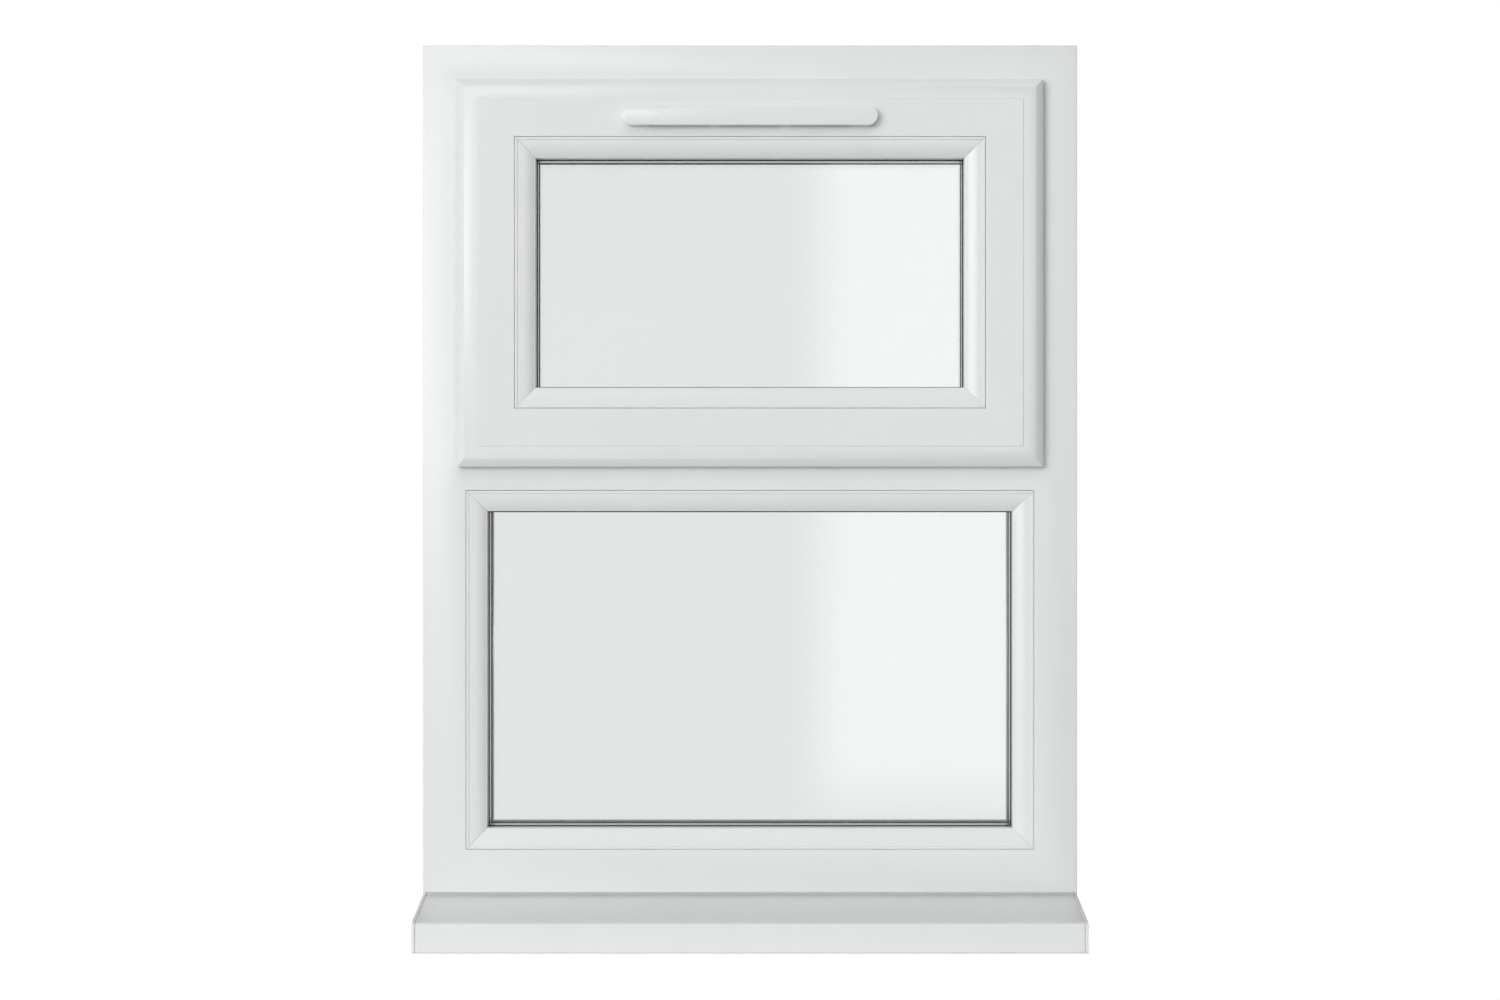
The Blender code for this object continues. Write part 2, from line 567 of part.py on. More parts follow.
track_section = [(-9.5, 0.3), (9.5, 0.3), (9.5, 4.8), (4.0, 4.8), (4.0, 3.6), (8.3, 3.6),
                 (8.3, 1.5), (-8.3, 1.5), (-8.3, 3.6), (-4.0, 3.6), (-4.0, 4.8), (-9.5, 4.8)]
for side_name, side_sign in (("left", -1.0), ("right", 1.0)):
    track_mesh = outline(track_section, [], (TRACK_HIGH - TRACK_LOW) / 2.0)
    track_middle = (TRACK_LOW + TRACK_HIGH) / 2.0
    track = add_part("stay_track_" + side_name, move_verts(
        track_mesh, lambda depth, layer, z: (side_sign * (TRACK_FLOOR - layer), STAY_DEPTH + depth,
                                             track_middle + z)), "steel")
    stay_stud(track, STUD, 1.0, 8.2, side_sign, TRACK_PIVOT_Z)
    stay_stud(track, 4.2, 7.5, 8.8, side_sign, TRACK_PIVOT_Z)

    stay_piece("long_arm_" + side_name, upright_slot(TRACK_PIVOT_Z, SASH_PIVOT_Z, 6.5),
               [circle(TRACK_PIVOT_Z, STUD_HOLE), circle(SASH_PIVOT_Z, STUD_HOLE)],
               ARM_NEAR, ARM_FAR, side_sign, "steel", "long_arm_" + side_name)
    stay_piece("short_arm_" + side_name, upright_slot(SLIDER_Z, SHORT_PIVOT_Z, 6.0),
               [circle(SLIDER_Z, STUD_HOLE), circle(SHORT_PIVOT_Z, STUD_HOLE)],
               ARM_NEAR, ARM_FAR, side_sign, "steel", "short_arm_" + side_name)

    slider_points = rectangle(-7.9, SLIDER_Z - 11.0, 7.9, SLIDER_Z + 11.0)
    slider = stay_piece("slider_" + side_name, slider_points, [], 1.8, 3.3, side_sign, "steel",
                        "slider_" + side_name)
    stay_stud(slider, STUD, 3.0, 8.2, side_sign, SLIDER_Z)
    stay_stud(slider, 4.2, 7.5, 8.8, side_sign, SLIDER_Z)

    sash_bar = stay_piece("sash_bar_" + side_name, upright_slot(600.0, SHORT_PIVOT_Z - 1.5, 7.0), [],
                          BAR_NEAR, BAR_FAR, side_sign, "steel", "sash")
    stay_stud(sash_bar, STUD, 10.0, ARM_NEAR, side_sign, SASH_PIVOT_Z)
    stay_stud(sash_bar, STUD, 10.0, ARM_NEAR, side_sign, SHORT_PIVOT_Z)

for part in parts.objects:
    if part.type == "MESH":
        part.data.set_sharp_from_angle(angle=math.radians(35.0))
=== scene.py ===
import json
import math

import bmesh
import bpy
from mathutils import Matrix, Vector


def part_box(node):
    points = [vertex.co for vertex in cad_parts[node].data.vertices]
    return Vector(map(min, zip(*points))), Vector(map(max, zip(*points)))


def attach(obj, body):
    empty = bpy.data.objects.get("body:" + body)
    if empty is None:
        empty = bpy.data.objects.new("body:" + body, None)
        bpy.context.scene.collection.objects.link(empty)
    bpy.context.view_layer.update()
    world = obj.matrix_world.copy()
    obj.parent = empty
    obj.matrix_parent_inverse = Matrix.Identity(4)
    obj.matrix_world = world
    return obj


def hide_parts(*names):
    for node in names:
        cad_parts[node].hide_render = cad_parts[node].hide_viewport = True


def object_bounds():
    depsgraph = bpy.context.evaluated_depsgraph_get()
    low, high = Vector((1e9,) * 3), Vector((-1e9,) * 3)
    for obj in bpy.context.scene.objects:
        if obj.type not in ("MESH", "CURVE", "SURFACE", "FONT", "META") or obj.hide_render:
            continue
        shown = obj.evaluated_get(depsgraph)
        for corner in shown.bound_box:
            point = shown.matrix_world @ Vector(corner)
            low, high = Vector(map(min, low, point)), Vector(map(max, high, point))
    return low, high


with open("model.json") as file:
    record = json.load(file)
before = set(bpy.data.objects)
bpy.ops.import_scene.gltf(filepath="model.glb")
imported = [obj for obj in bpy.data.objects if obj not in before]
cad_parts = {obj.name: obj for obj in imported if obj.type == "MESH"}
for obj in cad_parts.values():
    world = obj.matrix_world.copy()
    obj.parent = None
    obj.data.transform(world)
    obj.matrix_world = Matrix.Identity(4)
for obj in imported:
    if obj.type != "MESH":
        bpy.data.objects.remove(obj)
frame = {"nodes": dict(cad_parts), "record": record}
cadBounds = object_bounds()
nodes = frame["nodes"]
mm = 0.001
print("frame loaded:", len(nodes), "parts")


# small helpers

def hexLinear(text):
    # sRGB hex to linear red, green, blue, alpha
    values = [int(text[i:i + 2], 16) / 255 for i in (1, 3, 5)]
    linear = [v / 12.92 if v <= 0.04045 else ((v + 0.055) / 1.055) ** 2.4 for v in values]
    return (*linear, 1.0)


def addNode(tree, kind, settings=None, links=None):
    node = tree.nodes.new(kind)
    for key, value in (settings or {}).items():
        if key in node.inputs.keys():
            node.inputs[key].default_value = value
        else:
            setattr(node, key, value)
    for key, source in (links or {}).items():
        tree.links.new(source, node.inputs[key])
    return node


def newMaterial(name):
    material = bpy.data.materials.new(name)
    material.use_nodes = True
    tree = material.node_tree
    tree.nodes.clear()
    shader = addNode(tree, "ShaderNodeBsdfPrincipled")
    output = addNode(tree, "ShaderNodeOutputMaterial")
    tree.links.new(shader.outputs["BSDF"], output.inputs["Surface"])
    return material, tree, shader


def finishMesh(bm, name, material, body, replaced=(), smoothAngle=32):
    # merge, face outwards, then hand the piece to its body
    bmesh.ops.remove_doubles(bm, verts=bm.verts, dist=0.00002)
    bm.normal_update()
    bmesh.ops.recalc_face_normals(bm, faces=bm.faces)
    mesh = bpy.data.meshes.new(name)
    bm.to_mesh(mesh)
    bm.free()
    mesh.shade_smooth()
    mesh.set_sharp_from_angle(angle=math.radians(smoothAngle))
    piece = bpy.data.objects.new(name, mesh)
    bpy.context.scene.collection.objects.link(piece)
    mesh.materials.append(material)
    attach(piece, body)
    if replaced:
        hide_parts(*replaced)
    return piece


# materials

# plastics and coatings: hex of the two tones, roughness range, and the size of the surface's texture
plasticLook = {
    "extruded uPVC": dict(light="#EDEFEE", dark="#E8EBEA", rough=(0.27, 0.36), patch=90, peel=1.6, lift=0.010,
                          ior=1.53),
    "cill uPVC": dict(light="#EDEFEE", dark="#E8EBEA", rough=(0.30, 0.42), patch=70, peel=1.4, lift=0.012,
                      ior=1.53),
    "moulded ABS": dict(light="#EDEFEE", dark="#E8EBEA", rough=(0.24, 0.32), patch=90, peel=1.8, lift=0.010,
                        ior=1.54),
    "white powder coat": dict(light="#EFEFED", dark="#E8E8E5", rough=(0.28, 0.4), patch=30, peel=0.8, lift=0.03,
                              ior=1.5),
    "EPDM gasket": dict(light="#202322", dark="#141615", rough=(0.55, 0.75), patch=12, peel=0.4, lift=0.03,
                        ior=1.5),
    "nylon packer": dict(light="#3E6FA0", dark="#386796", rough=(0.4, 0.5), patch=12, peel=0.8, lift=0.02,
                         ior=1.53),
    "butyl edge seal": dict(light="#1B1C1C", dark="#121313", rough=(0.5, 0.65), patch=9, peel=1.2, lift=0.05,
                            ior=1.5),
}


def plastic(name):
    # extruded and moulded plastic: slow drift in tone, even sheen, faint peel from the die or mould
    look = plasticLook[name]
    material, tree, shader = newMaterial(name)
    place = addNode(tree, "ShaderNodeTexCoord").outputs["Object"]
    patches = addNode(tree, "ShaderNodeTexNoise", {"Scale": 1000 / look["patch"], "Detail": 3.0},
                      {"Vector": place})
    tone = addNode(tree, "ShaderNodeMix", {"data_type": "RGBA"}, {"Factor": patches.outputs["Fac"]})
    tone.inputs[6].default_value = hexLinear(look["dark"])
    tone.inputs[7].default_value = hexLinear(look["light"])
    tree.links.new(tone.outputs[2], shader.inputs["Base Color"])
    sheen = addNode(tree, "ShaderNodeMapRange", {"To Min": look["rough"][0], "To Max": look["rough"][1]},
                    {"Value": patches.outputs["Fac"]})
    tree.links.new(sheen.outputs["Result"], shader.inputs["Roughness"])
    peel = addNode(tree, "ShaderNodeTexNoise", {"Scale": 1000 / look["peel"], "Detail": 2.0}, {"Vector": place})
    bump = addNode(tree, "ShaderNodeBump", {"Strength": 0.06, "Distance": look["lift"] * mm},
                   {"Height": peel.outputs["Fac"]})
    tree.links.new(bump.outputs["Normal"], shader.inputs["Normal"])
    shader.inputs["IOR"].default_value = look["ior"]
    return material


def floatGlass():
    # soda-lime float glass: clear with a trace of green, mirror smooth
    material, tree, shader = newMaterial("float glass")
    place = addNode(tree, "ShaderNodeTexCoord").outputs["Object"]
    drift = addNode(tree, "ShaderNodeTexNoise", {"Scale": 4.0, "Detail": 1.0}, {"Vector": place})
    tone = addNode(tree, "ShaderNodeMix", {"data_type": "RGBA"}, {"Factor": drift.outputs["Fac"]})
    tone.inputs[6].default_value = hexLinear("#F0F1F1")
    tone.inputs[7].default_value = hexLinear("#F2F3F3")
    tree.links.new(tone.outputs[2], shader.inputs["Base Color"])
    shader.inputs["Roughness"].default_value = 0.015
    shader.inputs["IOR"].default_value = 1.5
    shader.inputs["Transmission Weight"].default_value = 1.0
    return material


def brightMetal(name, light, dark, rough, grain, stretch):
    # rolled and plated metal: streaks run along the strip, with a soft sheen
    material, tree, shader = newMaterial(name)
    place = addNode(tree, "ShaderNodeTexCoord").outputs["Object"]
    turned = addNode(tree, "ShaderNodeMapping", {"Scale": stretch}, {"Vector": place})
    streaks = addNode(tree, "ShaderNodeTexNoise", {"Scale": 1000 / grain, "Detail": 4.0},
                      {"Vector": turned.outputs["Vector"]})
    tone = addNode(tree, "ShaderNodeMix", {"data_type": "RGBA"}, {"Factor": streaks.outputs["Fac"]})
    tone.inputs[6].default_value = hexLinear(dark)
    tone.inputs[7].default_value = hexLinear(light)
    tree.links.new(tone.outputs[2], shader.inputs["Base Color"])
    sheen = addNode(tree, "ShaderNodeMapRange", {"To Min": rough - 0.06, "To Max": rough + 0.08},
                    {"Value": streaks.outputs["Fac"]})
    tree.links.new(sheen.outputs["Result"], shader.inputs["Roughness"])
    bump = addNode(tree, "ShaderNodeBump", {"Strength": 0.2, "Distance": 0.00002},
                   {"Height": streaks.outputs["Fac"]})
    tree.links.new(bump.outputs["Normal"], shader.inputs["Normal"])
    shader.inputs["Metallic"].default_value = 1.0
    return material


upvc = plastic("extruded uPVC")
cillPlastic = plastic("cill uPVC")
moulded = plastic("moulded ABS")
powderCoat = plastic("white powder coat")
rubber = plastic("EPDM gasket")
packer = plastic("nylon packer")
edgeSeal = plastic("butyl edge seal")
glass = floatGlass()
spacerAlloy = brightMetal("mill-finish aluminium", "#D4D6D6", "#BEC1C1", 0.34, 0.6, (1, 1, 1))
zinc = brightMetal("zinc-plated steel", "#BFC2C4", "#A2A6A8", 0.33, 0.9, (1, 1, 0.15))
print("materials made")


# shapes

def arc(centreIn, centreDeep, radiusIn, radiusDeep, start, end, steps):
    # points on a quarter or part of an ellipse, angles in degrees
    points = []
    for step in range(steps + 1):
        angle = math.radians(start + (end - start) * step / steps)
        points.append((centreIn + radiusIn * math.cos(angle), centreDeep + radiusDeep * math.sin(angle)))
    return points


def fallAway(start, end, radius, level, steps):
    # a shallow arc, level at its start and falling inwards towards its end
    points = []
    for step in range(steps + 1):
        along = (end - start) * step / steps
        points.append((start + along, level + radius - math.sqrt(radius ** 2 - along ** 2)))
    return points


def roundCorners(bm, width, segments, minimumAngle=30):
    # round the sharp edges that run straight along a bar, and leave mitre lines alone
    edges = []
    for edge in bm.edges:
        run = (edge.verts[0].co - edge.verts[1].co).normalized()
        straight = max(abs(run.x), abs(run.y), abs(run.z)) > 0.999
        if straight and len(edge.link_faces) == 2 and edge.calc_face_angle(0) > math.radians(minimumAngle):
            edges.append(edge)
    bmesh.ops.bevel(bm, geom=edges, offset=width, offset_type="OFFSET", affect="EDGES", segments=segments,
                    profile=0.5, material=-1, clamp_overlap=True)


def ringMesh(section, rect):
    # a section spun in four steps makes a square mitred ring, which is then let out to the rectangle
    left, low, right, high = rect
    reach = 1.0
    bm = bmesh.new()
    corners = [bm.verts.new((reach - inset * mm, depth * mm, reach - inset * mm)) for inset, depth in section]
    edges = [bm.edges.new((corners[i], corners[(i + 1) % len(corners)])) for i in range(len(corners))]
    bmesh.ops.spin(bm, geom=corners + edges, cent=(0, 0, 0), axis=(0, 1, 0), angle=math.tau, steps=4,
                   use_merge=True, dvec=(0, 0, 0))
    bmesh.ops.remove_doubles(bm, verts=bm.verts, dist=0.00001)
    wide = (right - left) / 2 * mm - reach
    tall = (high - low) / 2 * mm - reach
    for vert in bm.verts:
        vert.co.x += (wide if vert.co.x > 0 else -wide) + (left + right) / 2 * mm
        vert.co.z += (tall if vert.co.z > 0 else -tall) + (low + high) / 2 * mm
    bm.normal_update()
    bmesh.ops.recalc_face_normals(bm, faces=bm.faces)
    return bm


def barMesh(section, side, rect, gap):
    # one bar of the same ring, its ends cut at 45 degrees
    left, low, right, high = [value * mm for value in rect]
    along = (right - left) / 2 if side in ("top", "bottom") else (high - low) / 2
    bm = bmesh.new()
    corners = [bm.verts.new((inset * mm, depth * mm, -along)) for inset, depth in section]
    face = bm.faces.new(corners)
    grown = bmesh.ops.extrude_face_region(bm, geom=[face])
    moved = [item for item in grown["geom"] if isinstance(item, bmesh.types.BMVert)]
    bmesh.ops.translate(bm, verts=moved, vec=(0, 0, 2 * along))
    for vert in bm.verts:
        inset, depth, end = vert.co
        run = math.copysign(along - inset - gap * mm, end)
        vert.co = {"bottom": ((left + right) / 2 + run, depth, low + inset),
                   "top": ((left + right) / 2 + run, depth, high - inset),
                   "left": (left + inset, depth, (low + high) / 2 + run),
                   "right": (right - inset, depth, (low + high) / 2 + run)}[side]
    bm.normal_update()
    bmesh.ops.recalc_face_normals(bm, faces=bm.faces)
    return bm


def boxMesh(low, high):
    bm = bmesh.new()
    bmesh.ops.create_cube(bm, size=1.0)
    size = [(high[i] - low[i]) * mm for i in range(3)]
    bmesh.ops.scale(bm, vec=size, verts=bm.verts)
    bmesh.ops.translate(bm, vec=[(high[i] + low[i]) / 2 * mm for i in range(3)], verts=bm.verts)
    return bm


def boolean(bm, tools, operation):
    # join or cut closed shapes with the exact solver, and give the result back as a bmesh
    graphObjects = []
    for shape in [bm, *tools]:
        mesh = bpy.data.meshes.new("work")
        shape.to_mesh(mesh)
        shape.free()
        work = bpy.data.objects.new("work", mesh)
        bpy.context.scene.collection.objects.link(work)
        graphObjects.append(work)
    base = graphObjects[0]
    for tool in graphObjects[1:]:
        modifier = base.modifiers.new("join", "BOOLEAN")
        modifier.operation = operation
        modifier.solver = "EXACT"
        modifier.object = tool
    graph = bpy.context.evaluated_depsgraph_get()
    joined = bpy.data.meshes.new_from_object(base.evaluated_get(graph))
    result = bmesh.new()
    result.from_mesh(joined)
    for work in graphObjects:
        bpy.data.objects.remove(work)
    bpy.data.meshes.remove(joined)
    bmesh.ops.remove_doubles(result, verts=result.verts, dist=0.00001)
    return result


def nodeBox(name):
    low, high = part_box(name)
    return [value / mm for value in low], [value / mm for value in high]


headLow, headHigh = nodeBox("frame_head")
footLow, footHigh = nodeBox("frame_bottom_rail")
transomLow, transomHigh = nodeBox("transom")
sashLow = [min(nodeBox(n)[0][i] for n in ("sash_bottom_rail", "sash_stile_left")) for i in range(3)]
sashHigh = [max(nodeBox(n)[1][i] for n in ("sash_top_rail", "sash_stile_right")) for i in range(3)]
mitreGap = 0.15

# outer frame, welded at its corners, with the transom let in

frameShape = dict(face=40, upstand=60, upstandFace=52, depth=70, lip=20, overlap=8, arris=0.7)
frameRect = (headLow[0] - mitreGap, footLow[2], headHigh[0] + mitreGap, headHigh[2])
frameSection = [(0, 0), (frameShape["face"], 0), (frameShape["face"], frameShape["upstandFace"]),
                (frameShape["upstand"], frameShape["upstandFace"]), (frameShape["upstand"], frameShape["depth"]),
                (0, frameShape["depth"])]
barLow = transomLow[2] + frameShape["lip"]
barHigh = transomHigh[2] - frameShape["lip"]
frameInner = frameRect[2] - frameShape["face"]
webHalf = frameInner + frameShape["overlap"]
flangeHalf = frameInner - frameShape["lip"] + frameShape["overlap"]
webMesh = boxMesh((-webHalf, 0, barLow), (webHalf, frameShape["upstandFace"] + 4, barHigh))
flangeMesh = boxMesh((-flangeHalf, frameShape["upstandFace"], transomLow[2]),
                     (flangeHalf, frameShape["depth"], transomHigh[2]))
frameMesh = boolean(ringMesh(frameSection, frameRect), [webMesh, flangeMesh], "UNION")
roundCorners(frameMesh, frameShape["arris"] * mm, 3)
finishMesh(frameMesh, "outer_frame", upvc, "frame",
           ("frame_head", "frame_bottom_rail", "frame_jamb_left", "frame_jamb_right", "transom"))
print("outer frame made")

# sash, welded, with its sculpted lap

sashShape = dict(lap=20, lapBack=-2, front=-16, back=50, rebate=54, upstand=70, upstandFace=36, arris=0.5,
                 sculptWidth=18.4, sculptRadius=28, sculptTop=-15.3, edgeRadius=1.0, edgeDepth=-8.1)
ventSlots = dict(places=(-65, 0, 65), halfLength=30, halfHeight=3.5)
lockGroove = dict(halfLength=160.5, near=12, far=30, depth=12, boxHalf=21, boxStart=8, boxEnd=37)
sashRect = (sashLow[0], sashLow[2], sashHigh[0], sashHigh[2])
edge = sashShape["edgeRadius"]
sashSection = [(0, sashShape["lapBack"])] + arc(edge, sashShape["edgeDepth"], edge, edge, 180, 232, 4)
sashSection += fallAway(sashShape["sculptWidth"], edge, sashShape["sculptRadius"],
                        sashShape["sculptTop"], 18)[::-1]
sashSection += [(sashShape["sculptWidth"] + 0.5, sashShape["sculptTop"]),
                (sashShape["sculptWidth"] + 0.6, sashShape["front"]), (sashShape["rebate"], sashShape["front"]),
                (sashShape["rebate"], sashShape["upstandFace"]), (sashShape["upstand"], sashShape["upstandFace"]),
                (sashShape["upstand"], sashShape["back"]), (sashShape["lap"], sashShape["back"]),
                (sashShape["lap"], sashShape["lapBack"])]
ventZ = sum(nodeBox("vent_canopy")[i][2] for i in (0, 1)) / 2
lockEdge = sashRect[1] + sashShape["lap"]
sashCuts = [boxMesh((x - ventSlots["halfLength"], sashShape["front"] - 4, ventZ - ventSlots["halfHeight"]),
                    (x + ventSlots["halfLength"], sashShape["back"] + 5, ventZ + ventSlots["halfHeight"]))
            for x in ventSlots["places"]]
for half, start, end in ((lockGroove["halfLength"], -1, lockGroove["depth"]),
                         (lockGroove["boxHalf"], lockGroove["boxStart"], lockGroove["boxEnd"])):
    sashCuts.append(boxMesh((-half, lockGroove["near"], lockEdge + start),
                            (half, lockGroove["far"], lockEdge + end)))
sashMesh = boolean(ringMesh(sashSection, sashRect), sashCuts, "DIFFERENCE")
sashFrame = finishMesh(sashMesh, "opening_sash", upvc, "sash",
                       ("sash_top_rail", "sash_bottom_rail", "sash_stile_left", "sash_stile_right"))
arris = sashFrame.modifiers.new("arris", "BEVEL")
arris.width = sashShape["arris"] * mm
arris.segments = 2
arris.limit_method = "ANGLE"
arris.angle_limit = math.radians(60)
print("sash made")

# glazing beads, gaskets and edge seals

beadShape = dict(width=19.5, depth=18, radius=27, gap=0.35, mitre=0.12)
unitShape = dict(sealInset=3.6, sealWidth=3.8, gasketInset=9, gasketLip=10.0, packerHalf=25, packerHeight=3.3)


def beadSection(face):
    section = [(beadShape["gap"], face + 0.5), (0.7, face + 0.1), (2.6, face + 0.1), (2.9, face + 0.8)]
    section += fallAway(3.6, 17.9, beadShape["radius"], face + 0.9, 16)
    section += arc(18.1, face + 6.9, 1.4, 1.5, 265, 360, 6)
    section += [(beadShape["width"], face + beadShape["depth"]), (beadShape["gap"], face + beadShape["depth"])]
    return section


lights = {
    "fixed": dict(rect=(-frameInner, footHigh[2] - frameShape["lip"], frameInner, barLow), face=0, body="frame"),
    "sash": dict(rect=(sashRect[0] + sashShape["rebate"], sashRect[1] + sashShape["rebate"],
                       sashRect[2] - sashShape["rebate"], sashRect[3] - sashShape["rebate"]),
                 face=sashShape["front"], body="sash"),
}


def lipSection(near, far, lip):
    # a gasket with a rounded lip that shows past the bead
    middle = (near + far) / 2
    half = (far - near) / 2
    return [(0, near)] + arc(lip - half, middle, half, half, -90, 90, 6) + [(0, far)]


for lightName, light in lights.items():
    for side in ("top", "bottom", "left", "right"):
        node = f"{lightName}_bead_{side}"
        beadMesh = barMesh(beadSection(light["face"]), side, light["rect"], beadShape["mitre"])
        finishMesh(beadMesh, node + "_sculpted", upvc, light["body"], (node,), 25)
    left, low, right, high = light["rect"]
    inset = beadShape["width"] - unitShape["gasketInset"]
    gasketRect = (left + inset, low + inset, right - inset, high - inset)
    for which in ("outer", "inner"):
        node = f"{lightName}_{which}_gasket"
        near, far = (nodeBox(node)[i][1] for i in (0, 1))
        gasketMesh = ringMesh(lipSection(near, far, unitShape["gasketLip"]), gasketRect)
        finishMesh(gasketMesh, node + "_lip", rubber, light["body"], (node,))
    near, far = (nodeBox(f"{lightName}_spacer_bar")[i][1] for i in (0, 1))
    inset = unitShape["sealInset"]
    sealRect = (left + inset, low + inset, right - inset, high - inset)
    sealSection = [(0, near - 0.1), (unitShape["sealWidth"], near - 0.1), (unitShape["sealWidth"], far + 0.1),
                   (0, far + 0.1)]
    finishMesh(ringMesh(sealSection, sealRect), f"{lightName}_edge_seal", edgeSeal, light["body"])
    for x in (-0.3, 0.3):
        middle = x * (right - left)
        half = unitShape["packerHalf"]
        blockMesh = boxMesh((middle - half, near - 3, low + 0.3),
                            (middle + half, far + 3, low + unitShape["packerHeight"]))
        roundCorners(blockMesh, 0.4 * mm, 2)
        blockName = f"{lightName}_packer_{'left' if x < 0 else 'right'}"
        finishMesh(blockMesh, blockName, packer, light["body"])
    for node, finish in ((f"{lightName}_outer_pane", glass), (f"{lightName}_inner_pane", glass),
                         (f"{lightName}_spacer_bar", spacerAlloy)):
        nodes[node].data.materials.clear()
        nodes[node].data.materials.append(finish)
print("glazing made")

# moulded, turned and pressed pieces: the working shapes with their edges rounded

refined = {
    "cill": dict(finish=cillPlastic, slot="cill_upvc", width=1.1, segments=4),
    "cill_end_cap_left": dict(finish=cillPlastic, slot="cill_upvc", width=0.7, segments=3),
    "cill_end_cap_right": dict(finish=cillPlastic, slot="cill_upvc", width=0.7, segments=3),
    "vent_body": dict(finish=moulded, slot="frame_upvc", width=0.8, segments=3),
    "vent_flap": dict(finish=moulded, slot="frame_upvc", width=0.3, segments=2),
    "handle_base": dict(finish=powderCoat, slot="handle_white", width=0.25, segments=2),
    "handle_lever": dict(finish=powderCoat, slot="handle_white", width=0.4, segments=3),
    "handle_button": dict(finish=powderCoat, slot="handle_white", width=0.25, segments=2),
    "handle_spindle": dict(finish=zinc, slot="hardware_steel", width=0.3, segments=2),
    "lock_gearbox": dict(finish=zinc, slot="hardware_steel", width=0.5, segments=2),
    "lock_faceplate": dict(finish=zinc, slot="hardware_steel", width=0.3, segments=2),
    "lock_drive_bar": dict(finish=zinc, slot="hardware_steel", width=0.3, segments=2),
}
for side in ("left", "right"):
    for stem in ("lock_cam_", "lock_keep_", "stay_track_", "long_arm_", "short_arm_", "slider_", "sash_bar_"):
        refined[stem + side] = dict(finish=zinc, slot="hardware_steel", width=0.25, segments=2)


def bodyOf(node):
    for bodyName, members in frame["record"]["behaviour"]["bodies"].items():
        if node in members:
            return bodyName
    return None


for node, look in refined.items():
    bm = bmesh.new()
    bm.from_mesh(nodes[node].data)
    piece = finishMesh(bm, node + "_finished", look["finish"], bodyOf(node), (node,))
    rounding = piece.modifiers.new("rounding", "BEVEL")
    rounding.width = look["width"] * mm
    rounding.segments = look["segments"]
    rounding.limit_method = "ANGLE"
    rounding.angle_limit = math.radians(35)
    rounding.use_clamp_overlap = True
print("fittings made")

# ventilator canopy: a hollow hood with rounded ends and eased edges

canopyShape = dict(edge=0.45, wall=2.2, lift=0.7, airHalf=28, airDepth=3.4, segments=64)
canopyLow, canopyHigh = nodeBox("vent_canopy")


def slotOutline(bm, halfLength, radius, depth):
    # a round outline pulled out sideways into a slot shape
    segments = canopyShape["segments"]
    ring = bmesh.ops.create_circle(bm, cap_ends=True, segments=segments, radius=radius * mm)["verts"]
    halfStep = Matrix.Rotation(math.pi / segments, 3, "Z")
    bmesh.ops.rotate(bm, verts=ring, cent=(0, 0, 0), matrix=Matrix.Rotation(math.radians(90), 3, "X") @ halfStep)
    for vert in ring:
        vert.co.x += (halfLength - radius) * mm * (1 if vert.co.x > 0 else -1)
    bmesh.ops.translate(bm, verts=ring, vec=(0, depth * mm, (ventZ + canopyShape["lift"]) * mm))
    return ring[0].link_faces[0]


def hoodMesh(halfLength, radius, back, front):
    bm = bmesh.new()
    face = slotOutline(bm, halfLength, radius, back)
    grown = bmesh.ops.extrude_face_region(bm, geom=[face])
    moved = [item for item in grown["geom"] if isinstance(item, bmesh.types.BMVert)]
    bmesh.ops.translate(bm, verts=moved, vec=(0, (front - back) * mm, 0))
    bm.normal_update()
    bmesh.ops.recalc_face_normals(bm, faces=bm.faces)
    return bm


hoodHalf = (canopyHigh[0] - canopyLow[0]) / 2
hoodRadius = (canopyHigh[2] - canopyLow[2]) / 2
hood = hoodMesh(hoodHalf, hoodRadius, canopyHigh[1], canopyLow[1])
frontFace = min(hood.faces, key=lambda face: face.calc_center_median().y)
bmesh.ops.bevel(hood, geom=list(frontFace.edges), offset=canopyShape["edge"] * mm, offset_type="OFFSET",
                affect="EDGES", segments=3, profile=0.5, material=-1)
pocket = hoodMesh(hoodHalf - canopyShape["wall"], hoodRadius - canopyShape["wall"], canopyHigh[1] + 2,
                  canopyLow[1] + 2)
airGaps = [boxMesh((x - canopyShape["airHalf"], canopyHigh[1] - canopyShape["airDepth"], canopyLow[2] - 2),
                   (x + canopyShape["airHalf"], canopyHigh[1] + 2, canopyLow[2] + 5))
           for x in ventSlots["places"]]
finishMesh(boolean(hood, [pocket, *airGaps], "DIFFERENCE"), "vent_hood", moulded, "sash",
           ("vent_canopy",), 20)
print("canopy made")

for node, finish in (("frame_weather_seal", rubber), ("sash_weather_seal", rubber),
                     ("jamb_reinforcement_left", zinc), ("jamb_reinforcement_right", zinc),
                     ("sash_reinforcement_left", zinc), ("sash_reinforcement_right", zinc)):
    nodes[node].data.materials.clear()
    nodes[node].data.materials.append(finish)

# screws

screwShape = dict(radius=3.2, height=0.9, recess=0.5, taper=0.72, rim=0.34, smallRadius=2.6, handleRadius=3.4)
screwPlaces = dict(track=(600, 642, 752), sashBar=(608, 640, 672, 725), faceplate=(-145, -50, 50, 145), stayDepth=20)


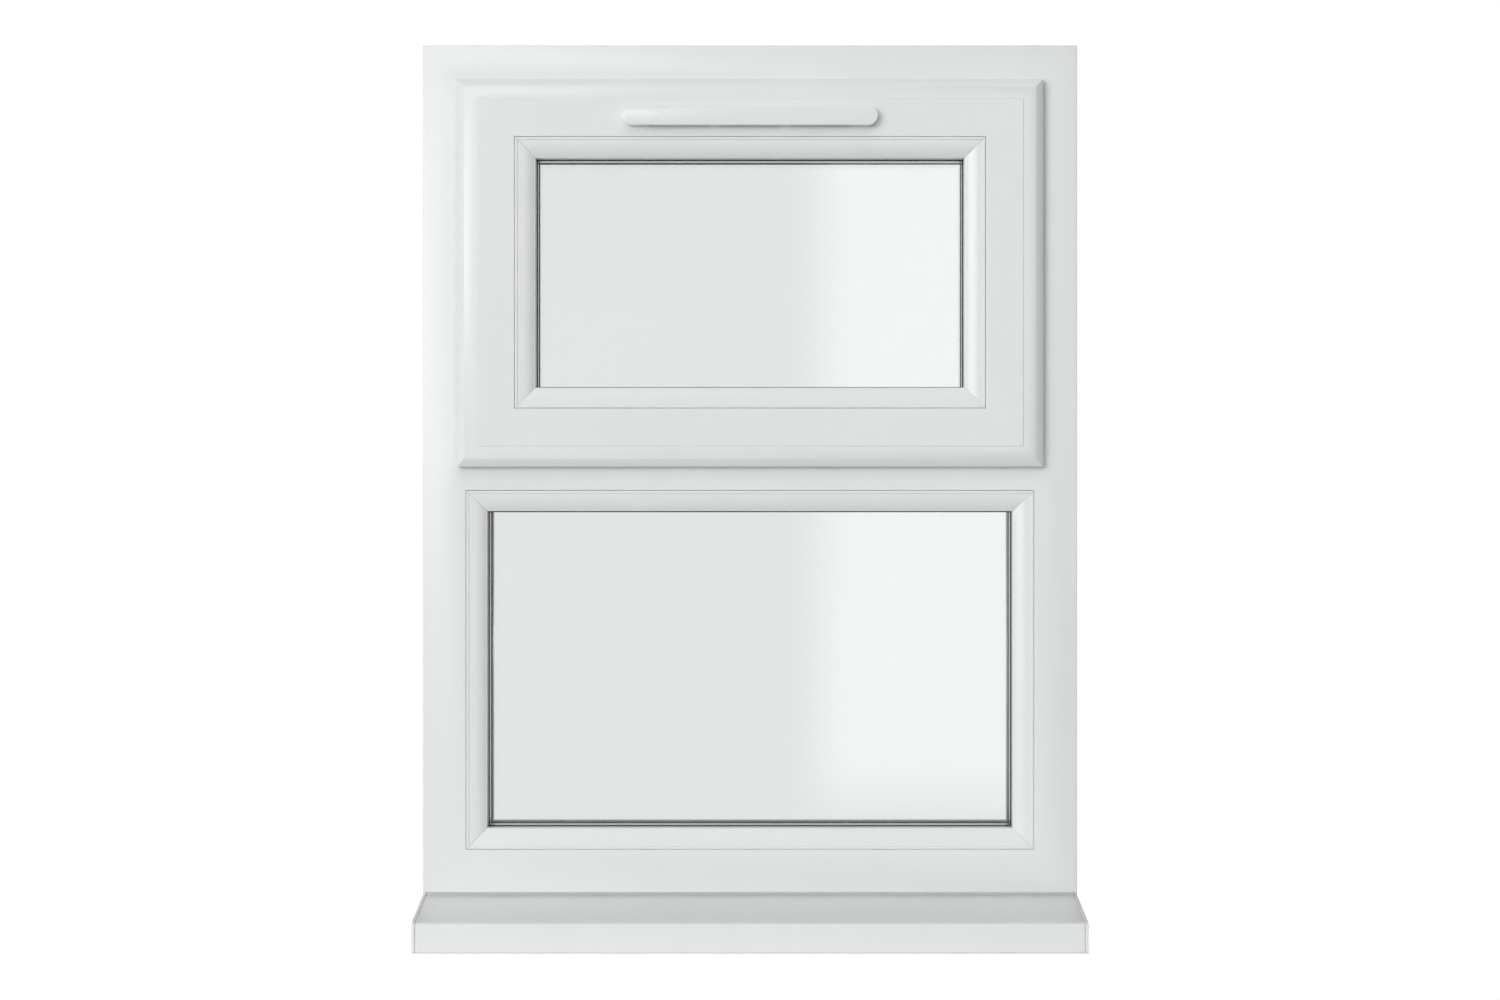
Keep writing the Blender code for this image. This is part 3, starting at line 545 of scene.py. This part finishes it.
def screwHead(name, centre, axis, body, radius=screwShape["radius"]):
    # a low dome with a round recess in its top, turned so that its top points along axis
    bm = bmesh.new()
    bmesh.ops.create_cone(bm, cap_ends=True, segments=24, radius1=radius * mm,
                          radius2=radius * screwShape["taper"] * mm, depth=screwShape["height"] * mm)
    top = max(bm.faces, key=lambda face: face.calc_center_median().z)
    bmesh.ops.inset_region(bm, faces=[top], thickness=radius * screwShape["rim"] * mm, depth=0)
    bmesh.ops.inset_region(bm, faces=[top], thickness=0.1 * mm, depth=-screwShape["recess"] * mm)
    turn = Vector((0, 0, 1)).rotation_difference(Vector(axis)).to_matrix().to_4x4()
    bmesh.ops.transform(bm, matrix=turn, verts=bm.verts)
    bmesh.ops.translate(bm, vec=[(centre[i] + axis[i] * screwShape["height"] / 2) * mm for i in range(3)],
                        verts=bm.verts)
    return finishMesh(bm, name, zinc, body)


for side, sign in (("left", -1), ("right", 1)):
    for number, height in enumerate(screwPlaces["track"]):
        screwHead(f"track_screw_{side}_{number}", (sign * (frameInner - 1.5), screwPlaces["stayDepth"], height),
                  (-sign, 0, 0), "frame", screwShape["smallRadius"])
    for number, height in enumerate(screwPlaces["sashBar"]):
        screwHead(f"sash_bar_screw_{side}_{number}", (sign * (frameInner - 9.5), screwPlaces["stayDepth"], height),
                  (sign, 0, 0), "sash")
for number, x in enumerate(screwPlaces["faceplate"]):
    screwHead(f"faceplate_screw_{number}", (x, 21, lockEdge + 0.1), (0, 0, -1), "sash")
for side in ("left", "right"):
    low, high = nodeBox("lock_keep_" + side)
    for number, x in enumerate((low[0] + 5.5, high[0] - 5.5)):
        screwHead(f"keep_screw_{side}_{number}", (x, 28, barHigh + 2), (0, 0, 1), "frame", screwShape["smallRadius"])
baseLow, baseHigh = nodeBox("handle_base")
for number, x in enumerate((baseLow[0] + 9, baseHigh[0] - 9)):
    screwHead(f"handle_screw_{number}", (x, baseHigh[1], (baseLow[2] + baseHigh[2]) / 2), (0, 1, 0), "sash",
              screwShape["handleRadius"])
print("screws made")

# studio

studio = dict(distance=2.5, eyeHeight=0.396, viewWidth=1.3987, keyPower=293, topPower=66, rearPower=100,
              fillLeft=0.40, fillRight=0.12, panelStrength=1.8, backWhite=1.02)


def stagePlane(name, low, high, material):
    # a flat sheet between two corners that share one coordinate
    flat = min(range(3), key=lambda i: abs(high[i] - low[i]))
    u, v = [i for i in range(3) if i != flat]
    bm = bmesh.new()
    bmesh.ops.create_grid(bm, x_segments=1, y_segments=1, size=0.5)
    for vert in bm.verts:
        spot = [0, 0, 0]
        spot[flat] = low[flat]
        spot[u] = (low[u] + high[u]) / 2 + vert.co.x * (high[u] - low[u])
        spot[v] = (low[v] + high[v]) / 2 + vert.co.y * (high[v] - low[v])
        vert.co = spot
    mesh = bpy.data.meshes.new(name)
    bm.to_mesh(mesh)
    bm.free()
    mesh.materials.append(material)
    sheet = bpy.data.objects.new(name, mesh)
    bpy.context.scene.collection.objects.link(sheet)
    return sheet


floorPaint, floorTree, floorShader = newMaterial("white floor")
floorShader.inputs["Base Color"].default_value = hexLinear("#F4F4F4")
floorShader.inputs["Roughness"].default_value = 0.9
floorPath = addNode(floorTree, "ShaderNodeLightPath")
floorSeen = addNode(floorTree, "ShaderNodeMath", {"operation": "MAXIMUM"},
                    {0: floorPath.outputs["Is Camera Ray"], 1: floorPath.outputs["Is Transmission Ray"]})
floorWhite = addNode(floorTree, "ShaderNodeEmission", {"Color": (1, 1, 1, 1), "Strength": studio["backWhite"]})
floorMix = addNode(floorTree, "ShaderNodeMixShader", None,
                   {0: floorSeen.outputs[0], 1: floorShader.outputs["BSDF"], 2: floorWhite.outputs[0]})
floorOutput = next(node for node in floorTree.nodes if node.type == "OUTPUT_MATERIAL")
floorTree.links.new(floorMix.outputs[0], floorOutput.inputs["Surface"])
floorHeight = cadBounds[0][2] - 0.0005
stagePlane("studio_floor", (-7, -0.9, floorHeight), (7, 12, floorHeight), floorPaint)

# a soft-edged reflector behind the camera, which the glass mirrors on its right side
panelPaint, panelTree, panelShader = newMaterial("soft reflector")
panelPlace = addNode(panelTree, "ShaderNodeTexCoord").outputs["Object"]
panelAxes = addNode(panelTree, "ShaderNodeSeparateXYZ", None, {"Vector": panelPlace})
sideFade = addNode(panelTree, "ShaderNodeMapRange",
                   {"interpolation_type": "SMOOTHSTEP", "From Min": 0.07, "From Max": 0.23},
                   {"Value": panelAxes.outputs["X"]})
lowFade = addNode(panelTree, "ShaderNodeMapRange",
                  {"interpolation_type": "SMOOTHSTEP", "From Min": -0.36, "From Max": -0.14},
                  {"Value": panelAxes.outputs["Z"]})
bothFades = addNode(panelTree, "ShaderNodeMath", {"operation": "MULTIPLY"},
                    {0: sideFade.outputs["Result"], 1: lowFade.outputs["Result"]})
panelPath = addNode(panelTree, "ShaderNodeLightPath")
# a mirrored ray has an odd number of turns: two for every pane it crosses, and one more where it turns back
turnedBack = addNode(panelTree, "ShaderNodeMath", {"operation": "MODULO"}, {0: panelPath.outputs["Ray Depth"]})
turnedBack.inputs[1].default_value = 2
glossyBack = addNode(panelTree, "ShaderNodeMath", {"operation": "MULTIPLY"},
                     {0: turnedBack.outputs[0], 1: panelPath.outputs["Is Glossy Ray"]})
mirrored = addNode(panelTree, "ShaderNodeMath", {"operation": "MULTIPLY"},
                   {0: bothFades.outputs[0], 1: glossyBack.outputs[0]})
panelShader.inputs["Base Color"].default_value = (0, 0, 0, 1)
panelShader.inputs["Emission Color"].default_value = (1, 1, 1, 1)
panelShader.inputs["Emission Strength"].default_value = studio["panelStrength"]
panelTree.links.new(mirrored.outputs[0], panelShader.inputs["Alpha"])
stagePlane("soft_reflector", (0.0, -3.2, -0.35), (2.2, -3.2, 2.2), panelPaint)

world = bpy.data.worlds.new("studio")
bpy.context.scene.world = world
world.use_nodes = True
worldTree = world.node_tree
worldTree.nodes.clear()
path = addNode(worldTree, "ShaderNodeLightPath")
heading = addNode(worldTree, "ShaderNodeTexCoord").outputs["Generated"]
axes = addNode(worldTree, "ShaderNodeSeparateXYZ", None, {"Vector": heading})
fill = addNode(worldTree, "ShaderNodeMapRange",
               {"From Min": -1.0, "From Max": 1.0, "To Min": studio["fillLeft"], "To Max": studio["fillRight"]},
               {"Value": axes.outputs["X"]})
ambient = addNode(worldTree, "ShaderNodeBackground", {"Color": (1, 1, 1, 1)}, {"Strength": fill.outputs["Result"]})
white = addNode(worldTree, "ShaderNodeBackground", {"Color": (1, 1, 1, 1), "Strength": studio["backWhite"]})
through = addNode(worldTree, "ShaderNodeMath", {"operation": "MAXIMUM"},
                  {0: path.outputs["Is Camera Ray"], 1: path.outputs["Is Transmission Ray"]})
mixed = addNode(worldTree, "ShaderNodeMixShader", None,
                {0: through.outputs[0], 1: ambient.outputs[0], 2: white.outputs[0]})
addNode(worldTree, "ShaderNodeOutputWorld", None, {"Surface": mixed.outputs[0]})


def softBox(name, centre, aim, size, power):
    light = bpy.data.lights.new(name, "AREA")
    light.shape = "RECTANGLE"
    light.size, light.size_y = size
    light.energy = power
    lamp = bpy.data.objects.new(name, light)
    lamp.location = centre
    lamp.visible_transmission = False
    lamp.rotation_euler = (Vector(aim) - Vector(centre)).to_track_quat("-Z", "Y").to_euler()
    bpy.context.scene.collection.objects.link(lamp)
    return lamp


# a wide key from the left, a weaker one overhead, and a fill from the room side that nothing mirrors
softBox("key", (-3.9, -6.4, 1.9), (0, 0, 0.4), (4.4, 3.6), studio["keyPower"])
softBox("top", (0.1, -3.4, 4.4), (0, 0, 0.2), (4.4, 3.0), studio["topPower"])
rearLamp = softBox("rear", (0, 5.6, 0.9), (0, 0, 0.4), (1.0, 1.6), studio["rearPower"])
rearLamp.visible_glossy = False

camera = bpy.data.cameras.new("camera")
camera.lens = 36 * studio["distance"] / studio["viewWidth"]
eye = bpy.data.objects.new("camera", camera)
eye.location = (0, -studio["distance"], studio["eyeHeight"])
eye.rotation_euler = (math.radians(90), 0, 0)
bpy.context.scene.collection.objects.link(eye)
bpy.context.scene.camera = eye
bpy.context.scene.view_settings.view_transform = "Standard"
print("studio made")
